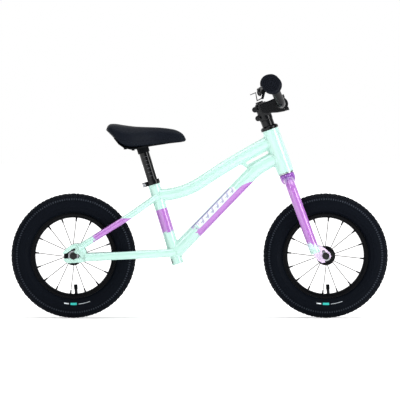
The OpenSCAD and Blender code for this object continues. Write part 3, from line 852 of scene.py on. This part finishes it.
for side, s in (("left", 1), ("right", -1)):
    start = Vector((grip_in.x, s * grip_in.y, grip_in.z))
    end = Vector((bar_end.x, s * bar_end.y, bar_end.z))
    grip = Shape().lathe(grip_profile(), along(start, end - start, (1, 0, 0)), 96)
    grip.piece("grip_%s_looks" % side, "handlebar", "grip_rubber", ["grip_" + side], sharp=42)

DOME_RADIUS = 14
DOME_WALL = 0.9

band = on_bar(BELL_OUT)
dome_at = Vector((band.x - 28, -band.y, band.z - 15))
dome_rise = math.radians(27)
on_dome = along(dome_at, (-math.cos(dome_rise), 0, math.sin(dome_rise)))
shell = []
for degrees in range(14, 87, 6):
    t = math.radians(degrees)
    shell.append((-2 + DOME_RADIUS * math.sin(t), DOME_RADIUS * math.cos(t)))
under = [(h - DOME_WALL, max(0.6, r - DOME_WALL)) for h, r in reversed(shell)]
dome = Shape().lathe([(0.1, 13.2), (0.1, 14.0), (1.0, 14.1), *shell, *under], on_dome, 72)
acorn = [(10.6, 0.0), (10.6, 3.2), (11.5, 3.2), (12.6, 2.8), (13.3, 1.6), (13.4, 0.0)]
dome.lathe(acorn, on_dome, 24, False)
dome.lathe([(0.2, 0.0), (0.2, 2.0), (11.0, 2.0), (11.0, 0.0)], on_dome, 20, False)
dome.piece("bell_dome_looks", "handlebar", "bell_metal", ["bell_dome"], sharp=50)


# Saddle: a crowned closed pad with a piped lower edge


def curve(points):
    """Smooth function through (x, value) points, by monotone cubic pieces."""
    points = sorted(points)
    slopes = [(b[1] - a[1]) / (b[0] - a[0]) for a, b in zip(points, points[1:])]
    ends = [slopes[0]]
    for a, b in zip(slopes, slopes[1:]):
        ends.append(0.0 if a * b <= 0 else 2 * a * b / (a + b))
    ends.append(slopes[-1])

    def value(x):
        for i in range(len(points) - 1):
            if x <= points[i + 1][0] or i == len(points) - 2:
                (x0, y0), (x1, y1) = points[i], points[i + 1]
                w = x1 - x0
                t = (x - x0) / w
                return (
                    (2 * t**3 - 3 * t * t + 1) * y0 + (t**3 - 2 * t * t + t) * w * ends[i]
                    + (3 * t * t - 2 * t**3) * y1 + (t**3 - t * t) * w * ends[i + 1]
                )

    return value


# Heights of the pad's upper and lower edges, and half its width, along the bike
pad_top = curve([
    (-233.3, 470.6), (-230, 480), (-222, 485.3), (-213, 485.7), (-190, 482.5), (-157, 478.5),
    (-104, 476.5), (-66, 472), (-52, 467), (-40, 458), (-34.2, 447),
])
pad_low = curve([
    (-233.3, 469.4), (-218, 454), (-203, 437.5), (-189, 428.5), (-172, 425), (-157, 426),
    (-123.5, 431), (-99, 434), (-75.5, 437.6), (-44, 440.2), (-37, 441.5), (-34.2, 445),
])
pad_half = curve([
    (-34, 7.5), (-40, 16.5), (-52, 21.5), (-80, 22.5), (-105, 26), (-130, 36), (-152, 49),
    (-175, 59), (-197, 63), (-215, 59), (-227, 48), (-233.4, 30),
])


def pad_ring(x, n=56):
    """Section of the pad: a full crown above its widest line and a flatter side below."""
    top, low, half = pad_top(x), pad_low(x), pad_half(x)
    middle = low + (top - low) * 0.42
    ring = []
    for k in range(n):
        t = 2 * math.pi * (k + 0.5) / n
        c, s = math.cos(t), math.sin(t)
        y = half * math.copysign(abs(c) ** 0.72, c)
        rise = (top - middle) * abs(s) ** 0.85 if s > 0 else -(middle - low) * abs(s) ** 0.3
        ring.append(Vector((x, y, middle + rise)))
    return ring


PAD_MIDDLE = -133.8
PAD_REACH = 99.5
SECTIONS = 60
stations = [PAD_MIDDLE + PAD_REACH * math.cos(math.pi * k / SECTIONS) for k in range(SECTIONS + 1)]
pad = Shape().rings([pad_ring(x) for x in stations])
pad = pad.piece("saddle_pad_looks", "saddle", "saddle_cover", ["saddle_pad"], sharp=170)
smooth = pad.modifiers.new("Soften", "SMOOTH")
smooth.factor = 0.5
smooth.iterations = 3
pad.modifiers.new("Round", "SUBSURF").levels = 1
settled(pad)


def pad_edge(x, side):
    low, top, half = pad_low(x), pad_top(x), pad_half(x)
    return Vector((x, side * (half * 0.985), low + (top - low) * 0.3))


edge_x = stations[3:-3]
edge_line = [pad_edge(x, 1) for x in edge_x] + [pad_edge(x, -1) for x in reversed(edge_x)]
piping = Shape().sweep(even(edge_line, 3.0), 1.0, 8, True)
piping.piece("saddle_piping", "saddle", "saddle_cover", sharp=80)


# Studio: white floor and surroundings, soft boxes, and a long lens at the side


def soft_box(name, at, aim, size, power):
    light = bpy.data.lights.new(name, "AREA")
    light.shape = "RECTANGLE"
    light.size, light.size_y = size
    light.energy = power
    obj = bpy.data.objects.new(name, light)
    obj.location = at
    obj.rotation_euler = (Vector(aim) - Vector(at)).to_track_quat("-Z", "Y").to_euler()
    bpy.context.collection.objects.link(obj)


def map_range(tree, **ends):
    """A node that maps one range onto another: from_min, from_max, to_min, to_max."""
    node = tree.nodes.new("ShaderNodeMapRange")
    for end, value in ends.items():
        node.inputs[end.replace("_", " ").title()].default_value = value
    return node


def floor_white():
    """White that glows more away from the object, so that only its own shadow shows."""
    material = bpy.data.materials.new("studio_floor")
    material.use_nodes = True
    tree = material.node_tree
    sockets = tree.nodes["Principled BSDF"].inputs
    sockets["Base Color"].default_value = (0.95, 0.95, 0.95, 1)
    sockets["Roughness"].default_value = 1.0
    sockets["Specular IOR Level"].default_value = 0.0
    sockets["Emission Color"].default_value = (1, 1, 1, 1)
    place = tree.nodes.new("ShaderNodeTexCoord")
    away = tree.nodes.new("ShaderNodeVectorMath")
    away.operation = "LENGTH"
    fade = map_range(tree, from_min=0.25, from_max=1.9, to_min=0.16, to_max=1.0)
    tree.links.new(place.outputs["Object"], away.inputs[0])
    tree.links.new(away.outputs["Value"], fade.inputs["Value"])
    tree.links.new(fade.outputs["Result"], sockets["Emission Strength"])
    return material


FLOOR_HALF = 40

corners = [(x * FLOOR_HALF, y * FLOOR_HALF, 0) for x, y in ((-1, -1), (1, -1), (1, 1), (-1, 1))]
floor_mesh = bpy.data.meshes.new("floor")
floor_mesh.from_pydata(corners, [], [(0, 1, 2, 3)])
floor_mesh.materials.append(floor_white())
floor = bpy.data.objects.new("floor", floor_mesh)
bpy.context.collection.objects.link(floor)

# The world is white to the eye, and lights the object mostly from behind
world = bpy.data.worlds.new("studio")
world.use_nodes = True
world.node_tree.nodes["Background"].inputs[0].default_value = (1, 1, 1, 1)
tree = world.node_tree
direction = tree.nodes.new("ShaderNodeTexCoord")
parts = tree.nodes.new("ShaderNodeSeparateXYZ")
behind = map_range(tree, from_min=0.1, from_max=0.5, to_min=0.17, to_max=0.95)
seen = tree.nodes.new("ShaderNodeLightPath")
brighter = tree.nodes.new("ShaderNodeMath")
brighter.operation = "MAXIMUM"
tree.links.new(direction.outputs["Generated"], parts.inputs[0])
tree.links.new(parts.outputs["Y"], behind.inputs["Value"])
tree.links.new(behind.outputs["Result"], brighter.inputs[0])
tree.links.new(seen.outputs["Is Camera Ray"], brighter.inputs[1])
tree.links.new(brighter.outputs[0], tree.nodes["Background"].inputs["Strength"])
bpy.context.scene.world = world

soft_box("overhead", (0.1, -0.4, 2.3), (0, 0, 0.2), (3.0, 1.6), 50)
soft_box("front_fill", (-1.9, -3.0, 1.9), (0, 0, 0.3), (1.2, 1.2), 27)
soft_box("front_strip", (2.5, -1.7, 0.8), (0.1, 0, 0.3), (1.0, 2.2), 52)

camera = bpy.data.cameras.new("camera")
camera.lens = 720
camera.sensor_width = 36
camera.clip_end = 100
view = bpy.data.objects.new("camera", camera)
bpy.context.collection.objects.link(view)
CAMERA_DISTANCE = 20
aim = Vector((0.001, 0, 0.295))
rise = math.radians(0.8)
view.location = aim + CAMERA_DISTANCE * Vector((0, -math.cos(rise), math.sin(rise)))
view.rotation_euler = (aim - view.location).to_track_quat("-Z", "Y").to_euler()
bpy.context.scene.camera = view
bpy.context.scene.view_settings.view_transform = "Standard"
